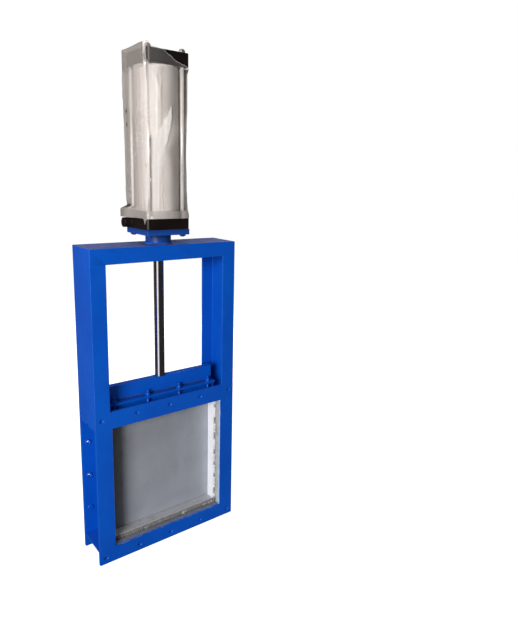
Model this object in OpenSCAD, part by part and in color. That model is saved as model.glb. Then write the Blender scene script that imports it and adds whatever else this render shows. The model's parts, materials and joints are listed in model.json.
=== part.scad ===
// Pneumatic slide gate valve: a bolted body with a sliding plate, a yoke above it and a tie-rod cylinder.
// +Z is up, the front is -Y, and the origin is at the middle of the footprint, on the floor.

/* [Frame] */
// Width over the flanges and the yoke
frame_w = 626; // [560:1:700]
// Depth over the two flange faces
frame_d = 168; // [150:1:200]
// Height of the yoke's top
frame_h = 1260; // [1240:1:1400]
// Face width of the yoke's channel sections
rail_w = 60; // [50:1:66]
// Web thickness of the channel sections
web_t = 8; // [6:0.5:12]
// Thickness of the channels' front and rear lips
lip_t = 9; // [6:0.5:12]

/* [Body] */
// Height of the bolted flanges
flange_h = 634; // [600:1:680]
// Thickness of the bolted flanges
flange_t = 14; // [10:1:18]
// Width of the flanges on each side of the opening
side_w = 66; // [60:1:80]
// Width of the flanges below the opening
low_w = 62; // [56:1:80]
// Width of the flanges above the opening
high_w = 68; // [60:1:80]
// Thickness of the body's walls
wall_t = 8; // [6:1:10]
// Distance of the flange bolts from the flange's sides
bolt_inset = 25; // [20:1:30]
// Distance of the flange bolts from the flange's top and bottom
bolt_inset_z = 27; // [20:1:32]
// Flange bolts along each side
bolts_per_side = 5; // [3:1:7]
// Diameter of the flange bolt holes
bolt_hole_d = 18; // [14:1:22]

/* [Seat and gate] */
// How far the side and top seat bars stand into the opening
seat_t = 15; // [12:1:20]
// How far the bottom seat bar stands up into the opening
seat_foot_t = 20; // [12:1:26]
// Depth of the seat bars along the flow
seat_d = 42; // [30:1:52]
// Thickness of the gate plate
gate_t = 10; // [8:1:12]
// Sliding clearance on each face of the gate plate
gate_gap = 1.5; // [1:0.5:3]
// Clearance round the edges of the gate plate
edge_gap = 5; // [4:0.5:6]
// Height of the lifting beam
beam_h = 58; // [50:1:60]
// Thickness of the lifting beam
beam_t = 30; // [26:1:32]
// Depth of the solid part of the lifting beam, above the gate plate
beam_top = 30; // [28:1:36]
// Clearance between the gland and the lifting beam, gate closed
beam_gap = 6; // [4:1:20]

/* [Gland] */
// How far the packing box stands above the flanges
gland_rise = 2; // [-10:1:6]
// Thickness of the packing box walls
gland_t = 6; // [5:0.5:8]
// Thickness of the packing on each face of the gate
packing_t = 7; // [5:1:9]
// Thickness of the followers, the flat bars that press on the packing
follower_t = 8; // [6:1:12]
// Depth of the followers
follower_d = 34; // [32:1:38]
// Gland studs on each side
studs = 4; // [3:1:6]
// Distance of the outer gland studs from the ends of the followers
stud_inset = 32.5; // [20:0.5:50]
// Diameter of the gland studs
stud_d = 10; // [8:1:12]

/* [Cylinder] */
// Side of the square cylinder caps and of the mounting plate
cap_w = 180; // [170:1:190]
// Height of each cylinder cap
cap_h = 50; // [40:1:60]
// Thickness of the mounting plate
plate_t = 22; // [16:1:26]
// Outside diameter of the neck, the tube between the yoke and the plate
neck_d = 100; // [90:1:112]
// Height of the neck
neck_h = 38; // [34:1:60]
// Bore of the barrel
bore_d = 160; // [150:1:162]
// Wall of the barrel
barrel_t = 5; // [4:0.5:6]
// Length of the barrel between the caps
barrel_l = 548; // [540:1:580]
// Distance between the tie rods
tie_pitch = 140; // [138:0.5:144]
// Diameter of the tie rods
tie_d = 16; // [12:1:16]
// Diameter of the piston rod
rod_d = 40; // [36:1:44]
// Height of the piston
piston_h = 30; // [24:1:34]
// How far the caps' spigots reach into the barrel
spigot_h = 6; // [4:1:8]

/* [Film] */
// Thickness of the film
film_t = 1; // [0.5:0.1:2]
// Height of the film's lower edge over the foot of the bottom cap
film_low = 41; // [10:1:46]
// Distance of the film's upper edge below the top of the top cap
film_under = 4; // [2:1:20]

/* [Hidden] */
$fn = 64;
// Surfaces that a cut passes through are overshot by this much
over = 1;
// Running clearance of the rod and the piston, on the radius
fit = 0.3;
// Clearance of a rod or a stud in a plain hole, on the diameter
hole_fit = 1;
column_x = frame_w / 2 - rail_w / 2;
inside_d = frame_d - 2 * flange_t;
flange_y = frame_d / 2 - flange_t / 2;
port_w = frame_w - 2 * side_w;
port_h = flange_h - low_w - high_w;
port_z = low_w;
port_top = port_z + port_h;
wall_x = port_w / 2 + wall_t / 2;
clear_w = port_w - 2 * seat_t;
clear_h = port_h - seat_t - seat_foot_t;
bolt_pitch_x = (frame_w - 2 * bolt_inset) / (bolts_per_side - 1);
bolt_pitch_z = (flange_h - 2 * bolt_inset_z) / (bolts_per_side - 1);
// The gland: the shelf that the studs stand on, the top of the packing, and the nuts
slot_y = gate_t / 2 + gate_gap;
shelf_z = port_top + wall_t;
gland_z = flange_h + gland_rise;
gland_l = port_w + 2 * wall_t;
box_y = slot_y + packing_t;
stud_gap = 12;
stud_y = box_y + gland_t + stud_gap;
stud_pitch = (port_w - 2 * stud_inset) / (studs - 1);
stud_over = 24;
stud_nut_w = stud_d * 1.7;
stud_nut_h = stud_d * 0.9;
// The gate and what lifts it
gate_w = port_w - 2 * edge_gap;
gate_z = port_z + edge_gap;
gate_bevel = 3;
beam_z = gland_z + follower_t + beam_gap + beam_h;
thread_d = 30;
thread_end = 2;
thread_l = beam_top - thread_end;
// Room round the rod, on the diameter, in the rail and in the neck
rail_room = 12;
neck_room = 20;
rod_hole_d = rod_d + rail_room;
neck_bore_d = rod_d + neck_room;
// The cylinder
plate_z = frame_h + neck_h;
cap_low_z = plate_z + plate_t;
barrel_z = cap_low_z + cap_h;
cap_high_z = barrel_z + barrel_l;
cylinder_top = cap_high_z + cap_h;
cap_chamfer = 6;
// The air ports: their height over the outer face of a cap, and the drilling from there into the barrel
port_d = 20;
port_l = 24;
port_in = 17;
port_end = cap_w / 2 - port_l;
drill_d = 10;
drill_l = 12;
// The plugged port: a round boss on the left face of the bottom cap, with the socket in its end
plug_d = 38;
plug_l = 27;
plug_y = cap_w / 2 - plug_d / 2 - cap_chamfer;
plug_in = 20;
socket_w = 14;
socket_deep = 8;
bush_wall = 5;
bush_l = 40;
bush_in = 4;
piston_gap = 2;
piston_z = barrel_z + spigot_h + piston_gap;
seal_h = 5;
seal_depth = 4;
// The tie rods' nuts, under the plate and on the top cap, and how far the rods reach past the plate
tie_nut_w = tie_d * 1.5;
tie_nut_h = 6;
tie_out = 9;
cap_nut_h = 9;
dome_h = 7;
dome_step = 2;
dome_in = 10;
// How far a tie rod reaches into its domed nut
tie_in = 10;
film_z = cap_low_z + film_low;
film_h = cylinder_top - film_under - film_z;
// Room round the upper air port, on the diameter, in the film
film_room = 16;
film_hole_d = port_d + film_room;

BLUE = [0.03, 0.31, 0.71];
STEEL = [0.52, 0.53, 0.56];
BRIGHT = [0.80, 0.80, 0.82];
BLACK = [0.06, 0.05, 0.05];
BRASS = [0.72, 0.58, 0.30];
FILM = [0.85, 0.84, 0.80, 0.4];

// ---- Shared shapes ----

// A block centred on x and y, standing on z = 0
module block(size) {
    translate([-size.x / 2, -size.y / 2, 0]) cube(size);
}

// The four points of a square pattern
module at_corners(pitch) {
    for (x = [-1, 1], y = [-1, 1]) translate([x * pitch / 2, y * pitch / 2, 0]) children();
}

// A hexagonal nut, width measured across its flats
module nut(width, height) {
    cylinder(d = width / cos(30), h = height, $fn = 6);
}

// Flange bolt pattern: places its children at every hole, in the flange's own plane
module at_flange_bolts() {
    last = bolts_per_side - 1;
    for (i = [0:last], k = [0:last])
        if (i == 0 || i == last || k == 0 || k == last)
            translate([-frame_w / 2 + bolt_inset + i * bolt_pitch_x, 0, bolt_inset_z + k * bolt_pitch_z])
                children();
}

// ---- Yoke ----

// A channel open towards +X, its web on the -X side, of a given height
module channel(height) {
    difference() {
        block([rail_w, frame_d, height]);
        translate([web_t, 0, -over])
            block([rail_w, frame_d - 2 * lip_t, height + 2 * over]);
    }
}

// A column: the channel above the flanges, and its web running down behind them
module column() {
    translate([-column_x, 0, flange_h]) channel(frame_h - rail_w - flange_h);
    translate([-frame_w / 2 + web_t / 2, 0, shelf_z])
        block([web_t, inside_d, flange_h - shelf_z]);
}

module left_column() {
    color(BLUE) column();
}

module right_column() {
    color(BLUE) mirror([1, 0, 0]) column();
}

// The rail across the top, a channel open downwards, bored for the piston rod
module top_rail() {
    color(BLUE) difference() {
        translate([0, 0, frame_h - rail_w]) block([frame_w, frame_d, rail_w]);
        translate([0, 0, frame_h - rail_w - over])
            block([frame_w - 2 * web_t, frame_d - 2 * lip_t, rail_w - web_t + over]);
        translate([0, 0, frame_h - web_t - over])
            cylinder(d = rod_hole_d, h = web_t + 2 * over);
    }
}

// ---- Body ----

module flange_plate() {
    difference() {
        block([frame_w, flange_t, flange_h]);
        translate([0, 0, port_z]) block([port_w, flange_t + 2 * over, port_h]);
        at_flange_bolts()
            rotate([90, 0, 0]) cylinder(d = bolt_hole_d, h = flange_t + 2 * over, center = true);
    }
}

module front_flange() {
    color(BLUE) translate([0, -flange_y, 0]) flange_plate();
}

module rear_flange() {
    color(BLUE) translate([0, flange_y, 0]) flange_plate();
}

module side_wall() {
    translate([-wall_x, 0, port_z]) block([wall_t, inside_d, port_h]);
}

module left_wall() {
    color(BLUE) side_wall();
}

module right_wall() {
    color(BLUE) mirror([1, 0, 0]) side_wall();
}

// The floor of the body, which runs the full width between the flanges
module bottom_wall() {
    color(BLUE) translate([0, 0, port_z - wall_t]) block([frame_w, inside_d, wall_t]);
}

// A seat: four bars round the opening, just in front of the gate
module seat_frame() {
    translate([0, -slot_y - seat_d / 2, port_z]) difference() {
        block([port_w, seat_d, port_h]);
        translate([0, 0, seat_foot_t]) block([clear_w, seat_d + 2 * over, clear_h]);
    }
}

module front_seat() {
    color(STEEL) seat_frame();
}

module rear_seat() {
    color(STEEL) mirror([0, 1, 0]) seat_frame();
}

// ---- Gland ----

// The shelf behind the flange and the packing box's upright wall, as one welded piece
module gland_box() {
    shelf_d = inside_d / 2 - slot_y;
    translate([0, -slot_y - shelf_d / 2, port_top]) block([frame_w, shelf_d, wall_t]);
    translate([0, -box_y - gland_t / 2, shelf_z]) block([gland_l, gland_t, gland_z - shelf_z]);
}

// The front box also closes the two ends of the slot, beside the gate plate
module front_gland_box() {
    color(BLUE) {
        gland_box();
        for (side = [-1, 1]) translate([side * wall_x, -slot_y, port_top])
            block_between(wall_t, 2 * slot_y, gland_z - port_top);
    }
}

// A block centred on x only, with its front face on y = 0
module block_between(width, depth, height) {
    translate([-width / 2, 0, 0]) cube([width, depth, height]);
}

module rear_gland_box() {
    color(BLUE) mirror([0, 1, 0]) gland_box();
}

module packing() {
    translate([0, -slot_y - packing_t / 2, shelf_z])
        block([gland_l, packing_t, gland_z - shelf_z]);
}

module front_packing() {
    color(BRIGHT) packing();
}

module rear_packing() {
    color(BRIGHT) mirror([0, 1, 0]) packing();
}

// The flat bar that the studs press on the packing
module follower() {
    difference() {
        translate([0, -slot_y - follower_d / 2, gland_z]) block([port_w, follower_d, follower_t]);
        at_studs() translate([0, 0, gland_z - over])
            cylinder(d = stud_d + hole_fit, h = follower_t + 2 * over);
    }
}

module at_studs() {
    for (i = [0:studs - 1])
        translate([(i - (studs - 1) / 2) * stud_pitch, -stud_y, 0]) children();
}

module front_follower() {
    color(BLUE) follower();
}

module rear_follower() {
    color(BLUE) mirror([0, 1, 0]) follower();
}

module stud_row() {
    at_studs() {
        translate([0, 0, shelf_z])
            cylinder(d = stud_d, h = gland_z + follower_t + stud_over - shelf_z);
        translate([0, 0, gland_z + follower_t]) nut(stud_nut_w, stud_nut_h);
    }
}

module gland_studs() {
    color(BRIGHT) {
        stud_row();
        mirror([0, 1, 0]) stud_row();
    }
}

// ---- Cylinder ----

module neck() {
    color(BLUE) translate([0, 0, frame_h]) difference() {
        cylinder(d = neck_d, h = neck_h);
        translate([0, 0, -over]) cylinder(d = neck_bore_d, h = neck_h + 2 * over);
    }
}

module mounting_plate() {
    color(BLUE) translate([0, 0, plate_z]) difference() {
        block([cap_w, cap_w, plate_t]);
        translate([0, 0, -over]) {
            cylinder(d = neck_bore_d, h = plate_t + 2 * over);
            at_corners(tie_pitch) cylinder(d = tie_d + hole_fit, h = plate_t + 2 * over);
        }
    }
}

// The nuts under the mounting plate
module plate_bolts() {
    color(BRIGHT) at_corners(tie_pitch) translate([0, 0, plate_z - tie_nut_h]) difference() {
        nut(tie_nut_w, tie_nut_h);
        translate([0, 0, -over]) cylinder(d = tie_d, h = tie_nut_h + 2 * over);
    }
}

// A cylinder cap with its outer face on z = 0: a square block with its upright edges taken off,
// the spigot that centres the barrel, the tie rods' holes and the air port with its drilling
module cap() {
    side = cap_w / 2;
    cut = side - cap_chamfer;
    difference() {
        union() {
            linear_extrude(cap_h) polygon([
                [-side, -cut], [-cut, -side], [cut, -side], [side, -cut],
                [side, cut], [cut, side], [-cut, side], [-side, cut]
            ]);
            translate([0, 0, cap_h]) cylinder(d = bore_d - 2 * fit, h = spigot_h, $fn = 96);
        }
        translate([0, 0, -over])
            at_corners(tie_pitch) cylinder(d = tie_d + hole_fit, h = cap_h + 2 * over);
        air_port();
    }
}

// The port in the middle of the cap's rear face, and the drilling from its end into the barrel
module air_port() {
    translate([0, cap_w / 2 + over, port_in])
        rotate([90, 0, 0]) cylinder(d = port_d, h = port_l + over);
    translate([0, port_end + over, port_in])
        rotate([90, 0, 0]) cylinder(d = drill_d, h = drill_l + over);
    translate([0, port_end - drill_l, port_in])
        cylinder(d = drill_d, h = cap_h + spigot_h - port_in + over);
}

// The boss of the plugged port, its axis along -X and its end at the origin
module port_plug() {
    rotate([0, 90, 0]) difference() {
        cylinder(d = plug_d, h = plug_l + over);
        translate([0, 0, -over]) cylinder(d = socket_w / cos(30), h = socket_deep + over, $fn = 6);
    }
}

module bottom_cap() {
    color(BLACK) translate([0, 0, cap_low_z]) difference() {
        union() {
            cap();
            translate([-cap_w / 2 - plug_l, plug_y, plug_in]) port_plug();
        }
        translate([0, 0, -over])
            cylinder(d = rod_d + 2 * bush_wall, h = cap_h + spigot_h + 2 * over);
    }
}

module top_cap() {
    color(BLACK) translate([0, 0, cylinder_top]) mirror([0, 0, 1]) cap();
}

// The bronze bush that guides the rod through the bottom cap
module rod_bush() {
    color(BRASS) translate([0, 0, cap_low_z + bush_in]) difference() {
        cylinder(d = rod_d + 2 * bush_wall, h = bush_l);
        translate([0, 0, -over]) cylinder(d = rod_d + 2 * fit, h = bush_l + 2 * over);
    }
}

module barrel() {
    color(BRIGHT) translate([0, 0, barrel_z]) difference() {
        cylinder(d = bore_d + 2 * barrel_t, h = barrel_l, $fn = 96);
        translate([0, 0, -over]) cylinder(d = bore_d, h = barrel_l + 2 * over, $fn = 96);
    }
}

module tie_rods() {
    color(BRIGHT) at_corners(tie_pitch) translate([0, 0, plate_z - tie_out])
        cylinder(d = tie_d, h = cylinder_top + tie_in - plate_z + tie_out);
}

// The domed nuts on the top cap
module tie_rod_nuts() {
    color(BRIGHT) at_corners(tie_pitch) translate([0, 0, cylinder_top]) difference() {
        union() {
            nut(tie_nut_w, cap_nut_h);
            translate([0, 0, cap_nut_h])
                cylinder(d1 = tie_nut_w - dome_step, d2 = tie_nut_w - dome_in, h = dome_h);
        }
        translate([0, 0, -over]) cylinder(d = tie_d, h = tie_in + over);
    }
}

// The clear film, a square sleeve round the caps and the tie rods, cut away round the upper air port
module film_wrap() {
    color(FILM) translate([0, 0, film_z]) difference() {
        block([cap_w + 2 * film_t, cap_w + 2 * film_t, film_h]);
        translate([0, 0, -over]) block([cap_w, cap_w, film_h + 2 * over]);
        translate([0, cap_w / 2 + film_t + over, cylinder_top - port_in - film_z])
            rotate([90, 0, 0]) cylinder(d = film_hole_d, h = film_t + 2 * over);
    }
}

// ---- Moving pieces ----

// The plate, with the two edges of its foot bevelled
module gate_plate() {
    half = gate_t / 2;
    high = beam_z - beam_top - gate_z;
    color(STEEL) translate([-gate_w / 2, 0, gate_z]) rotate([90, 0, 90]) linear_extrude(gate_w) polygon([
        [-half, high], [-half, gate_bevel], [-half + gate_bevel, 0],
        [half - gate_bevel, 0], [half, gate_bevel], [half, high]
    ]);
}

// The beam that grips the plate's upper edge, tapped for the piston rod
module lifting_beam() {
    color(BLUE) translate([0, 0, beam_z - beam_h]) difference() {
        block([gate_w, beam_t, beam_h]);
        translate([0, 0, -over]) block([gate_w + 2 * over, gate_t, beam_h - beam_top + over]);
        translate([0, 0, beam_h - thread_l]) cylinder(d = thread_d, h = thread_l + over);
    }
}

module piston_rod() {
    color(BRIGHT) {
        translate([0, 0, beam_z]) cylinder(d = rod_d, h = piston_z - beam_z);
        translate([0, 0, beam_z - thread_l]) cylinder(d = thread_d, h = thread_l);
    }
}

// The piston, turned with two grooves for its seals
module piston() {
    r = bore_d / 2 - fit;
    groove = r - seal_depth;
    low = piston_h / 4;
    high = piston_h * 3 / 4;
    half = seal_h / 2;
    color(STEEL) translate([0, 0, piston_z]) rotate_extrude($fn = 96) polygon([
        [0, 0], [r, 0],
        [r, low - half], [groove, low - half], [groove, low + half], [r, low + half],
        [r, high - half], [groove, high - half], [groove, high + half], [r, high + half],
        [r, piston_h], [0, piston_h]
    ]);
}

left_column();
right_column();
top_rail();
front_flange();
rear_flange();
left_wall();
right_wall();
bottom_wall();
front_seat();
rear_seat();
front_gland_box();
rear_gland_box();
front_packing();
rear_packing();
front_follower();
rear_follower();
gland_studs();
neck();
mounting_plate();
plate_bolts();
bottom_cap();
rod_bush();
barrel();
top_cap();
tie_rods();
tie_rod_nuts();
film_wrap();
gate_plate();
lifting_beam();
piston_rod();
piston();
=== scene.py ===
"""Looks for the pneumatic slide gate valve: painted steelwork, bare seats, wrapped cylinder and stage."""

import json
import math
import random
from functools import cached_property

import bmesh
import bpy
from mathutils import Matrix, Vector, noise


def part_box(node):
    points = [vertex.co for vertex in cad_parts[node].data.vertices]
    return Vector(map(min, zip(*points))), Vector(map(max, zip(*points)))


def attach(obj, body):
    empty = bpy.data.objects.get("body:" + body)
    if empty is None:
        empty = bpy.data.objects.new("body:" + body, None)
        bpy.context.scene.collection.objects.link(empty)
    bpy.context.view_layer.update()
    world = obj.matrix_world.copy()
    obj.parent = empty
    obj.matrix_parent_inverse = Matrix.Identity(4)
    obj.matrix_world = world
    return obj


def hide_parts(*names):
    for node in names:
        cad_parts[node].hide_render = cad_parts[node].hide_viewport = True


bl_info = {
    "name": "Pneumatic gate valve",
    "version": (1, 0, 0),
    "blender": (4, 5, 0),
    "location": "View3D > Sidebar > Gate valve",
    "description": "Dresses the valve's solids with paint, welds, fasteners and the cylinder's film",
    "category": "Object",
}

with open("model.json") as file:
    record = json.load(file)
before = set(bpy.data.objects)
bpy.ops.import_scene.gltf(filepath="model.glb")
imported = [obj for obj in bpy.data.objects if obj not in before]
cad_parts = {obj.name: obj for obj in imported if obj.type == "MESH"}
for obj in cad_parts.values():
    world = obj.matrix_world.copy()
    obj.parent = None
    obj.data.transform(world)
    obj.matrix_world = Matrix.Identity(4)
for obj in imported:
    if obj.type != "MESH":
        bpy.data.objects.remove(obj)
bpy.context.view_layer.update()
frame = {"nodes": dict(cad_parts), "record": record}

SEAT_LOW, SEAT_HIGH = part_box("front_seat")
FLANGE_LOW, FLANGE_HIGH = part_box("front_flange")
RAIL_LOW, RAIL_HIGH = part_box("top_rail")
NECK_LOW, NECK_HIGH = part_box("neck")
PLATE_LOW, PLATE_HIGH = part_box("mounting_plate")
FOLLOWER_LOW, FOLLOWER_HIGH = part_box("front_follower")
STUDS_LOW, STUDS_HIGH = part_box("gland_studs")
RODS_LOW, RODS_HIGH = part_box("tie_rods")
BARREL_LOW, BARREL_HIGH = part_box("barrel")
COLUMN_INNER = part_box("right_column")[0].x
CAP_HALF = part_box("bottom_cap")[1].x
TOP_CAP_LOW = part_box("top_cap")[0].z

# Closed profiles stop this far from their axis.
AXIS = 0.00005
# Edges that turn by more than this are rounded.
SHARP = math.radians(32)


# ---- Sizes and colours ----


def a_colour(name, description, default):
    return bpy.props.FloatVectorProperty(name=name, description=description, default=default, subtype="COLOR")


def a_length(name, description, default):
    return bpy.props.FloatProperty(name=name, description=description, default=default, min=0, unit="LENGTH")


class PaintProperties(bpy.types.PropertyGroup):
    colour: a_colour("Colour", "Blue of the enamel", (0.0006, 0.080, 0.47))
    deep: a_colour("Deep colour", "Blue where the enamel lies thick", (0.0006, 0.066, 0.42))
    dust: a_colour("Dust", "Dust settled on level faces", (0.20, 0.19, 0.18))
    edge: a_length("Edge radius", "Rounding of the steel's edges", 0.0022)
    roughness: bpy.props.FloatProperty(
        name="Roughness", description="Roughness of the enamel", default=0.36, min=0, max=1, subtype="FACTOR"
    )


class SteelProperties(bpy.types.PropertyGroup):
    gate: a_colour("Gate", "Grey of the gate plate", (0.31, 0.325, 0.36))
    seat: a_colour("Seat", "Grey of the bare seat bars", (0.84, 0.84, 0.88))
    rust: a_colour("Rust", "Light rust on bare steel", (0.16, 0.10, 0.07))


class WeldProperties(bpy.types.PropertyGroup):
    bead: a_length("Bead", "Width of the seat's welds", 0.0145)
    stitch: a_length("Stitch", "Length of one stitch", 0.034)
    seed: bpy.props.IntProperty(name="Seed", description="Where the laps and the spatter fall", default=4)


class FilmProperties(bpy.types.PropertyGroup):
    stand: a_length("Stand-off", "How far the film lies off the caps", 0.001)
    crease: a_length("Crease", "Depth of the film's creases", 0.003)
    lower: a_length("Lower edge", "Height of the film's lower edge", 1.3615)
    rod: a_length("Tie rod", "Radius of the tie rods that the film lies on", 0.008)


class StageProperties(bpy.types.PropertyGroup):
    floor: a_colour("Floor", "Colour of the floor", (0.86, 0.86, 0.86))
    lens: bpy.props.FloatProperty(name="Lens", description="Focal length in millimetres", default=31.322)
    eye: bpy.props.FloatVectorProperty(
        name="Eye", description="Where the camera stands", subtype="TRANSLATION",
        default=(-1.0296, -1.9862, 1.5172),
    )
    turn: bpy.props.FloatVectorProperty(
        name="Turn", description="Heading, pitch and roll of the camera", subtype="EULER",
        default=(-0.6805, -0.1965, 0.0274),
    )


GROUPS = {
    "valve_paint": PaintProperties,
    "valve_steel": SteelProperties,
    "valve_welds": WeldProperties,
    "valve_film": FilmProperties,
    "valve_stage": StageProperties,
}


def setting(group, name):
    value = getattr(getattr(bpy.context.scene, "valve_" + group), name)
    return value if isinstance(value, (int, float)) else tuple(value)


def scaled(colour, factor):
    return tuple(c * factor for c in colour)


# ---- Shader nodes ----


class Nodes:
    """A node tree, with short calls for the few kinds of node that the finishes are made of."""

    def __init__(self, tree):
        self.tree = tree

    # Where a point is, its place as three numbers, and which way its surface faces.

    @cached_property
    def where(self):
        return self.add("ShaderNodeTexCoord").outputs["Object"]

    @cached_property
    def place(self):
        return self.add("ShaderNodeSeparateXYZ", {0: self.where}).outputs

    @cached_property
    def facing(self):
        normal = self.add("ShaderNodeNewGeometry").outputs["Normal"]
        return self.add("ShaderNodeSeparateXYZ", {0: normal}).outputs

    def feed(self, made, values):
        for key, value in values.items():
            if isinstance(value, bpy.types.NodeSocket):
                self.tree.links.new(value, made.inputs[key])
            else:
                made.inputs[key].default_value = value
        return made

    def add(self, kind, values=(), **options):
        made = self.tree.nodes.new(kind)
        for key, value in options.items():
            setattr(made, key, value)
        return self.feed(made, dict(values))

    def maths(self, operation, a, b=0.0, clamp=False):
        return self.add("ShaderNodeMath", {0: a, 1: b}, operation=operation, use_clamp=clamp).outputs[0]

    def vector(self, operation, a, b=(0, 0, 0), output=0):
        return self.add("ShaderNodeVectorMath", {0: a, 1: b}, operation=operation).outputs[output]

    def times(self, value, *others):
        for other in others:
            value = self.maths("MULTIPLY", value, other)
        return value

    def size(self, value):
        return self.maths("ABSOLUTE", value)

    def ramp(self, value, low, high, to_low=0.0, to_high=1.0):
        values = {"Value": value, "From Min": low, "From Max": high, "To Min": to_low, "To Max": to_high}
        return self.add("ShaderNodeMapRange", values, clamp=True).outputs["Result"]

    def blend(self, factor, a, b):
        mix = self.add("ShaderNodeMix", data_type="RGBA")
        for key, value in ((0, factor), (6, a), (7, b)):
            self.feed(mix, {key: (*value, 1) if isinstance(value, tuple) else value})
        return mix.outputs[2]

    def speckle(self, scale, detail=3.0, roughness=0.55, vector=None):
        values = {"Vector": vector or self.where, "Scale": scale, "Detail": detail, "Roughness": roughness}
        return self.add("ShaderNodeTexNoise", values).outputs["Fac"]

    def cloud(self, grain, low, high, to_low=0.0, to_high=1.0):
        """A ramp over noise of the given scale, detail and roughness."""
        return self.ramp(self.speckle(*grain), low, high, to_low, to_high)

    def group(self, name, **values):
        if name not in SHADER_GROUPS:
            SHADER_GROUPS[name] = BUILDERS[name]()
        made = self.add("ShaderNodeGroup", node_tree=SHADER_GROUPS[name])
        return self.feed(made, {key.replace("_", " "): value for key, value in values.items()}).outputs


class Group(Nodes):
    """A shader group, built once and placed in each finish with its own values."""

    def __init__(self, name, inputs, outputs):
        super().__init__(bpy.data.node_groups.new(name, "ShaderNodeTree"))
        face = self.tree.interface
        for label, default in inputs.items():
            kind = "NodeSocketVector" if isinstance(default, tuple) else "NodeSocketFloat"
            face.new_socket(name=label, in_out="INPUT", socket_type=kind).default_value = default
        for label in outputs:
            face.new_socket(name=label, in_out="OUTPUT", socket_type="NodeSocketFloat")
        self.given = self.tree.nodes.new("NodeGroupInput").outputs
        self.out = self.tree.nodes.new("NodeGroupOutput")

    def give(self, **results):
        self.feed(self.out, results)
        return self.tree


def edge_wear_group():
    """Paint or anodising rubbed through along the edges, in patches."""
    group = Group("edge wear", {"Radius": 0.003, "Amount": 0.5, "Size": 60.0}, ["Mask"])
    normal = group.add("ShaderNodeNewGeometry").outputs["Normal"]
    soft = group.add("ShaderNodeBevel", {"Radius": group.given["Radius"]}, samples=4).outputs[0]
    edge = group.ramp(group.vector("DOT_PRODUCT", soft, normal, "Value"), 0.995, 0.90)
    worn = group.times(edge, group.cloud((group.given["Size"], 5.0, 0.7), 0.50, 0.62))
    return group.give(Mask=group.maths("MULTIPLY", worn, group.given["Amount"], True))


def grain_group():
    """Fine relief, which can be drawn out along one axis, over broad patches."""
    group = Group("grain", {"Fine": 400.0, "Coarse": 9.0, "Stretch": (1, 1, 1)}, ["Height", "Patches"])
    stretched = group.vector("MULTIPLY", group.where, group.given["Stretch"])
    fine = group.speckle(group.given["Fine"], 2.0, 0.5, stretched)
    coarse = group.speckle(group.given["Coarse"], 4.0, 0.6)
    height = group.maths("ADD", group.times(fine, 0.5), group.times(coarse, 0.8))
    return group.give(Height=height, Patches=coarse)


def dust_group():
    """Dust on whatever faces up."""
    group = Group("settled dust", {"Amount": 0.5, "Size": 14.0}, ["Mask"])
    level = group.ramp(group.facing["Z"], 0.55, 0.98)
    lain = group.times(level, group.cloud((group.given["Size"], 5.0, 0.6), 0.30, 0.70, 0.6, 1.0))
    return group.give(Mask=group.maths("MULTIPLY", lain, group.given["Amount"], True))


def bare_port_group():
    """Where the enamel stops inside the opening: 1 on bare steel, with ragged overspray near the faces."""
    inputs = {"Half width": 0.247, "Low": 0.062, "High": 0.566, "Face": 0.084}
    group = Group("bare port", inputs, ["Mask", "Mist", "Floor"])
    given = group.given
    across = group.maths("SUBTRACT", given["Half width"], group.size(group.place["X"]))
    above = group.maths("SUBTRACT", group.place["Z"], given["Low"])
    below = group.maths("SUBTRACT", given["High"], group.place["Z"])
    inside = group.maths("MINIMUM", across, group.maths("MINIMUM", above, below))
    within = group.ramp(inside, -0.0015, -0.0008)
    lying = group.ramp(group.facing["Z"], 0.5, 0.9)
    depth = group.maths("SUBTRACT", given["Face"], group.size(group.place["Y"]))
    reach = group.maths("ADD", 0.0012, group.times(lying, 0.008))
    ragged = group.times(group.cloud((26.0, 5.0, 0.62), 0.30, 0.70, -0.8, 1.2), reach)
    clear = group.ramp(group.maths("SUBTRACT", depth, ragged), 0.0006, 0.0020)
    far = group.ramp(depth, 0.008, group.maths("ADD", 0.015, group.times(lying, 0.010)), 1.0, 0.0)
    return group.give(Mask=group.times(within, clear), Mist=group.times(within, far), Floor=lying)


SHADER_GROUPS = {}
BUILDERS = {
    "edge wear": edge_wear_group,
    "grain": grain_group,
    "settled dust": dust_group,
    "bare port": bare_port_group,
}


# ---- Finishes ----


class Finish(Nodes):
    """A material made of one Principled shader, its colour laid on coat by coat."""

    def __init__(self, name, **sockets):
        self.material = bpy.data.materials.new(name)
        self.material.use_nodes = True
        super().__init__(self.material.node_tree)
        self.tree.nodes.clear()
        self.shader = self.add("ShaderNodeBsdfPrincipled")
        self.add("ShaderNodeOutputMaterial", {0: self.shader.outputs[0]})
        self.feed(self.shader, {key.replace("_", " "): value for key, value in sockets.items()})

    def under(self, mask, *tones):
        self.colour = self.blend(mask, *tones)

    def over(self, mask, tone):
        self.colour = self.blend(mask, self.colour, tone)

    def done(self, rough, height=None, strength=0.0, distance=0.0):
        self.feed(self.shader, {"Base Color": self.colour, "Roughness": rough})
        if height:
            bump = self.add("ShaderNodeBump", {"Height": height, "Strength": strength, "Distance": distance})
            self.feed(self.shader, {"Normal": bump.outputs[0]})
        return self.material


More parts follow.
